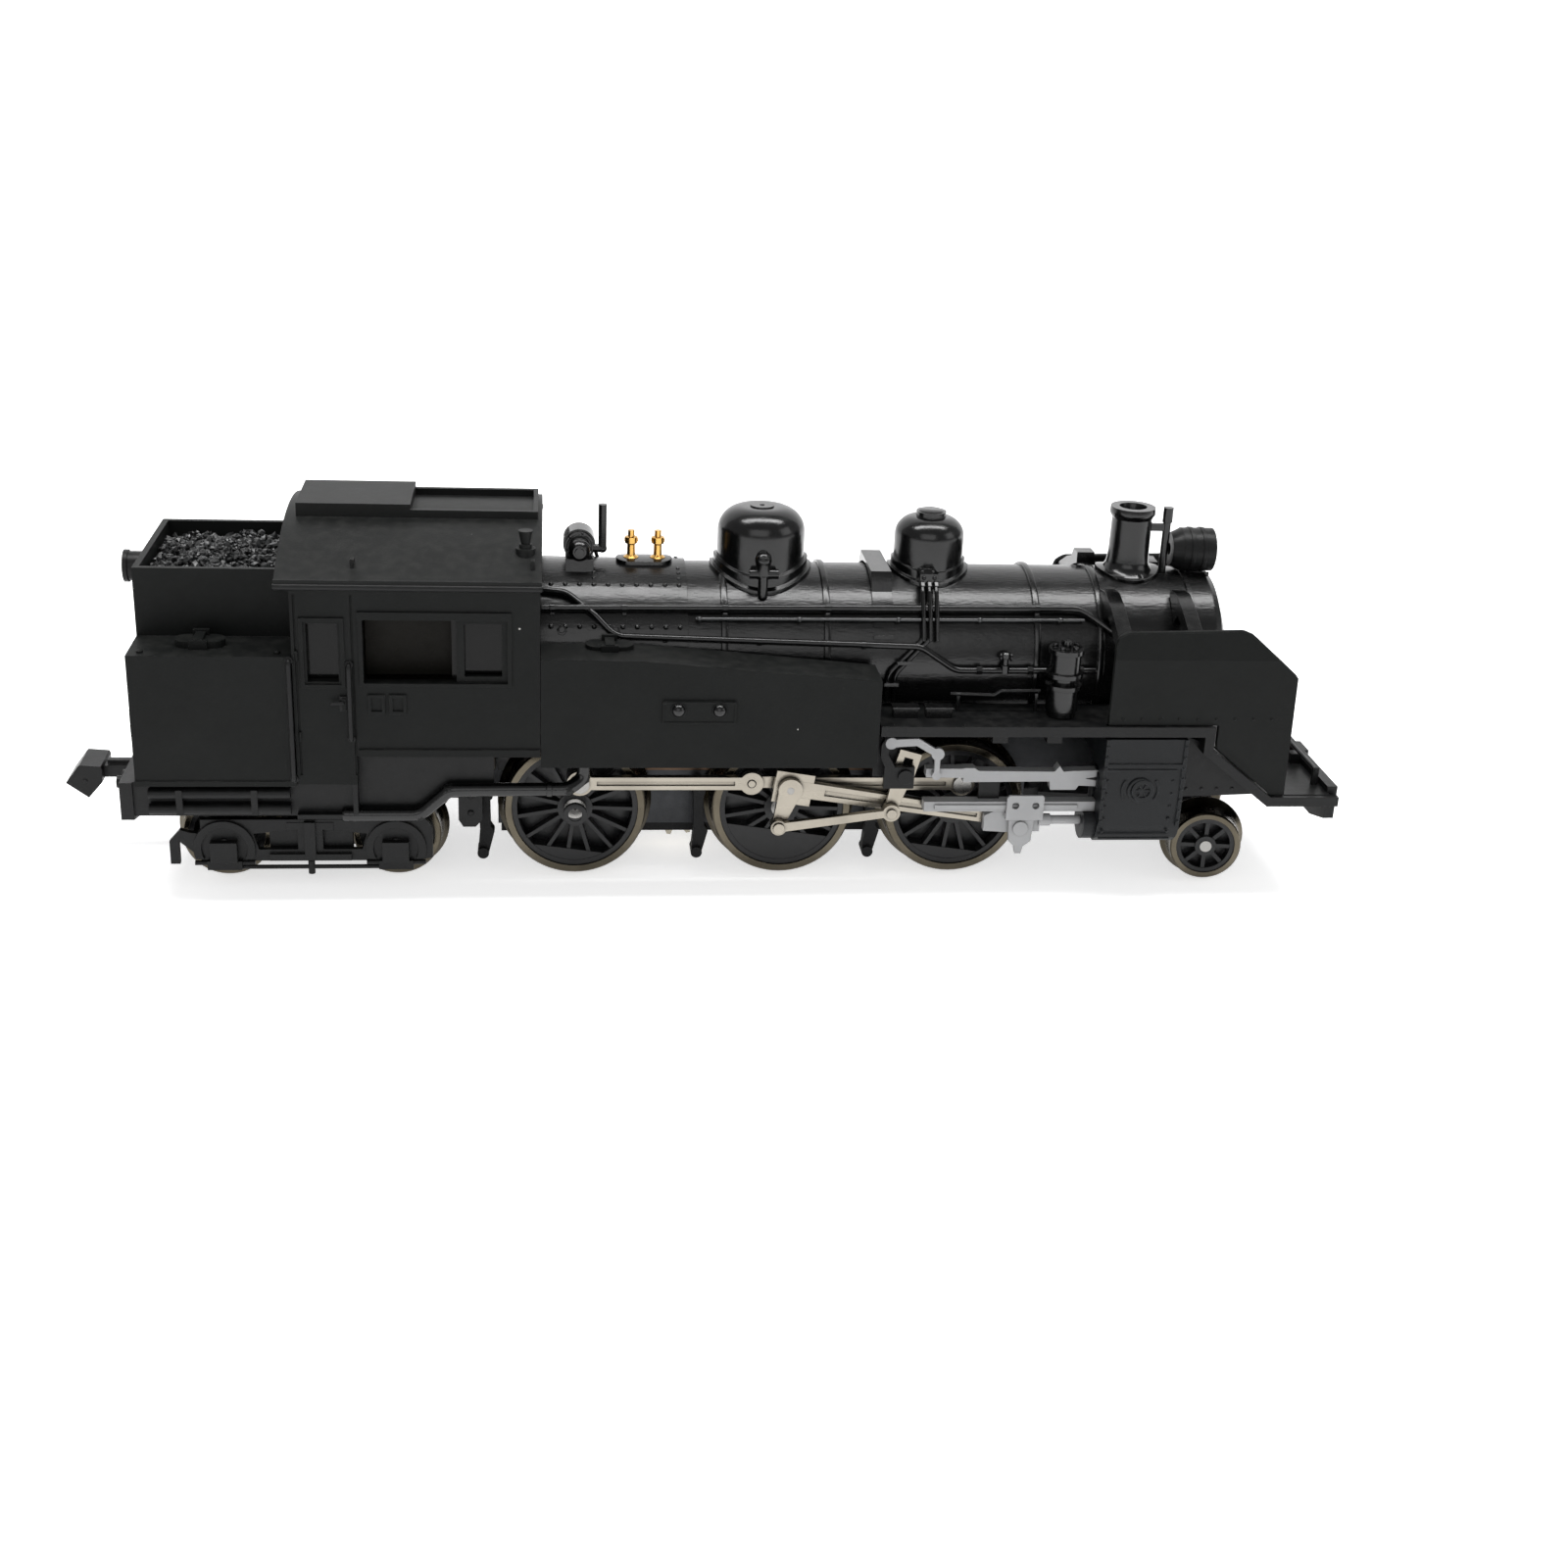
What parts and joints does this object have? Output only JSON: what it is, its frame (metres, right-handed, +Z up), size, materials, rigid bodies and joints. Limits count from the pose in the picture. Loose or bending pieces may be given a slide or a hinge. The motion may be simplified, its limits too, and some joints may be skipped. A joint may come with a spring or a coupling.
{
  "type": "model steam locomotive",
  "caption": "Model side-tank steam locomotive with working driving wheels, rods, gear train, leading truck, trailing bogie and rear coupler.",
  "frame": {"origin": "under the middle driving axle, on the centre line, at the level of the flange bottoms", "axes": "+X forward, +Y to the left of the engine, +Z up"},
  "size_m": [0.0854, 0.0202, 0.0247],
  "materials": {
    "painted black": "semi-matte",
    "black plastic": "satin",
    "cast metal": "satin",
    "nickel silver": "satin",
    "grey plastic": "satin",
    "dark tyre": "polished",
    "steel": "polished",
    "brass": "polished",
    "coal": "glossy",
    "clear": "clear",
    "gear plastic": "satin",
    "copper": "satin",
    "circuit board": "satin",
    "brake plastic": "matte"
  },
  "bodies": {
    "root": {"chassis_left": "cast metal", "chassis_right": "cast metal", "screws_and_pins": "steel", "keeper_plate": "brake plastic", "brake_gear": "brake plastic", "pickup_strips": "copper", "motor": "steel", "slide_bars": "grey plastic", "link_brackets": "black plastic", "cylinder_block": "black plastic", "running_board": "painted black", "boiler": "painted black", "smokebox_front": "painted black", "chimney": "black plastic", "steam_dome": "black plastic", "sand_dome": "black plastic", "safety_valves": "brass", "boiler_fittings": "black plastic", "boiler_pipes": "black plastic", "side_tanks": "painted black", "deflectors": "painted black", "cab": "painted black", "cab_roof": "painted black", "rear_tank": "painted black", "rear_frame": "black plastic", "coal_load": "coal", "headlamps": "black plastic", "clear_parts": "clear", "boiler_weight": "cast metal", "cab_weight": "cast metal", "light_board": "circuit board"},
    "rear_wheels": {"rear_axle": "steel", "rear_driver_tyres": "dark tyre", "rear_driver_centres": "black plastic"},
    "middle_wheels": {"middle_axle": "steel", "middle_driver_tyres": "dark tyre", "middle_driver_centres": "black plastic", "return_cranks": "nickel silver"},
    "front_wheels": {"front_axle": "steel", "front_driver_tyres": "dark tyre", "front_driver_centres": "black plastic"},
    "idler": {"idler_gear": "gear plastic"},
    "motor_rotor": {"armature": "copper", "worm": "brass"},
    "coupling_rods_right": {"coupling_rods_right": "nickel silver"},
    "coupling_rods_left": {"coupling_rods_left": "nickel silver"},
    "main_rod_right": {"main_rod_right": "nickel silver"},
    "main_rod_left": {"main_rod_left": "nickel silver"},
    "eccentric_rod_right": {"eccentric_rod_right": "nickel silver"},
    "eccentric_rod_left": {"eccentric_rod_left": "nickel silver"},
    "expansion_link_right": {"expansion_link_right": "nickel silver"},
    "expansion_link_left": {"expansion_link_left": "nickel silver"},
    "crosshead_right": {"crosshead_right": "grey plastic"},
    "crosshead_left": {"crosshead_left": "grey plastic"},
    "leading_truck": {"leading_truck": "black plastic"},
    "leading_wheels": {"leading_wheelset": "dark tyre"},
    "bogie": {"bogie_frame": "black plastic"},
    "bogie_front_wheels": {"bogie_wheelset_front": "dark tyre"},
    "bogie_rear_wheels": {"bogie_wheelset_rear": "dark tyre"},
    "coupler": {"coupler": "black plastic"}
  },
  "joints": [
    {"name": "driving_wheels_spin", "type": "hinge", "parent": "root", "child": "middle_wheels", "pos_m": [0, 0, 0.00509], "axis": [0, 1, 0], "continuous": true},
    {"name": "rear_wheels_spin", "type": "hinge", "parent": "root", "child": "rear_wheels", "pos_m": [-0.01372, 0, 0.00509], "axis": [0, 1, 0], "continuous": true},
    {"name": "front_wheels_spin", "type": "hinge", "parent": "root", "child": "front_wheels", "pos_m": [0.01162, 0, 0.00509], "axis": [0, 1, 0], "continuous": true},
    {"name": "idler_spin", "type": "hinge", "parent": "root", "child": "idler", "pos_m": [-0.00686, 0, 0.00509], "axis": [0, 1, 0], "continuous": true},
    {"name": "motor_spin", "type": "hinge", "parent": "root", "child": "motor_rotor", "pos_m": [-0.022, 0, 0.01049], "axis": [1, 0, 0], "continuous": true},
    {"name": "coupling_rods_right_turn", "type": "hinge", "parent": "middle_wheels", "child": "coupling_rods_right", "pos_m": [0.0003, -0.0065, 0.00719], "axis": [0, 1, 0], "continuous": true},
    {"name": "main_rod_right_turn", "type": "hinge", "parent": "middle_wheels", "child": "main_rod_right", "pos_m": [0.0003, -0.0072, 0.00719], "axis": [0, 1, 0], "continuous": true},
    {"name": "eccentric_rod_right_turn", "type": "hinge", "parent": "middle_wheels", "child": "eccentric_rod_right", "pos_m": [-0.00045, -0.0082, 0.00477], "axis": [0, 1, 0], "continuous": true},
    {"name": "expansion_link_right_rock", "type": "hinge", "parent": "root", "child": "expansion_link_right", "pos_m": [0.0077, -0.00774, 0.00845], "axis": [0, 1, 0], "range_deg": [-21.2, 2.3]},
    {"name": "crosshead_right_slide", "type": "slide", "parent": "root", "child": "crosshead_right", "axis": [1, 0, 0], "range_m": [-0.00225, 0.00199]},
    {"name": "coupling_rods_left_turn", "type": "hinge", "parent": "middle_wheels", "child": "coupling_rods_left", "pos_m": [0.0021, 0.0065, 0.0048], "axis": [0, 1, 0], "continuous": true},
    {"name": "main_rod_left_turn", "type": "hinge", "parent": "middle_wheels", "child": "main_rod_left", "pos_m": [0.0021, 0.0072, 0.0048], "axis": [0, 1, 0], "continuous": true},
    {"name": "eccentric_rod_left_turn", "type": "hinge", "parent": "middle_wheels", "child": "eccentric_rod_left", "pos_m": [-0.00033, 0.0082, 0.00555], "axis": [0, 1, 0], "continuous": true},
    {"name": "expansion_link_left_rock", "type": "hinge", "parent": "root", "child": "expansion_link_left", "pos_m": [0.0077, 0.00774, 0.00845], "axis": [0, 1, 0], "range_deg": [-18.6, 4.9]},
    {"name": "crosshead_left_slide", "type": "slide", "parent": "root", "child": "crosshead_left", "axis": [1, 0, 0], "range_m": [-0.00422, 0.00002]},
    {"name": "leading_truck_swing", "type": "hinge", "parent": "root", "child": "leading_truck", "pos_m": [0.0176, 0, 0.004], "axis": [0, 0, 1], "range_deg": [-1, 15]},
    {"name": "leading_wheels_spin", "type": "hinge", "parent": "leading_truck", "child": "leading_wheels", "pos_m": [0.02971, -0.00149, 0.00284], "axis": [0.1219, 0.9925, 0], "continuous": true},
    {"name": "bogie_swing", "type": "hinge", "parent": "root", "child": "bogie", "pos_m": [-0.03075, 0, 0.0043], "axis": [0, 0, 1], "range_deg": [-8, 8]},
    {"name": "bogie_front_wheels_spin", "type": "hinge", "parent": "bogie", "child": "bogie_front_wheels", "pos_m": [-0.0253, 0, 0.00331], "axis": [0, 1, 0], "continuous": true},
    {"name": "bogie_rear_wheels_spin", "type": "hinge", "parent": "bogie", "child": "bogie_rear_wheels", "pos_m": [-0.0362, 0, 0.00331], "axis": [0, 1, 0], "continuous": true},
    {"name": "coupler_swing", "type": "hinge", "parent": "root", "child": "coupler", "pos_m": [-0.0396, 0, 0.0057], "axis": [0, 0, 1], "range_deg": [-12, 12]}
  ],
  "couplings": [
    {"joint": "rear_wheels_spin", "follows": "driving_wheels_spin", "ratio": 1},
    {"joint": "front_wheels_spin", "follows": "driving_wheels_spin", "ratio": 1},
    {"joint": "idler_spin", "follows": "driving_wheels_spin", "ratio": -0.78947},
    {"joint": "motor_spin", "follows": "driving_wheels_spin", "ratio": 15},
    {"joint": "coupling_rods_right_turn", "follows": "driving_wheels_spin", "ratio": -1},
    {"joint": "main_rod_right_turn", "follows": "driving_wheels_spin", "ratio": -1},
    {"joint": "eccentric_rod_right_turn", "follows": "driving_wheels_spin", "ratio": -1},
    {"joint": "coupling_rods_left_turn", "follows": "driving_wheels_spin", "ratio": -1},
    {"joint": "main_rod_left_turn", "follows": "driving_wheels_spin", "ratio": -1},
    {"joint": "eccentric_rod_left_turn", "follows": "driving_wheels_spin", "ratio": -1}
  ]
}
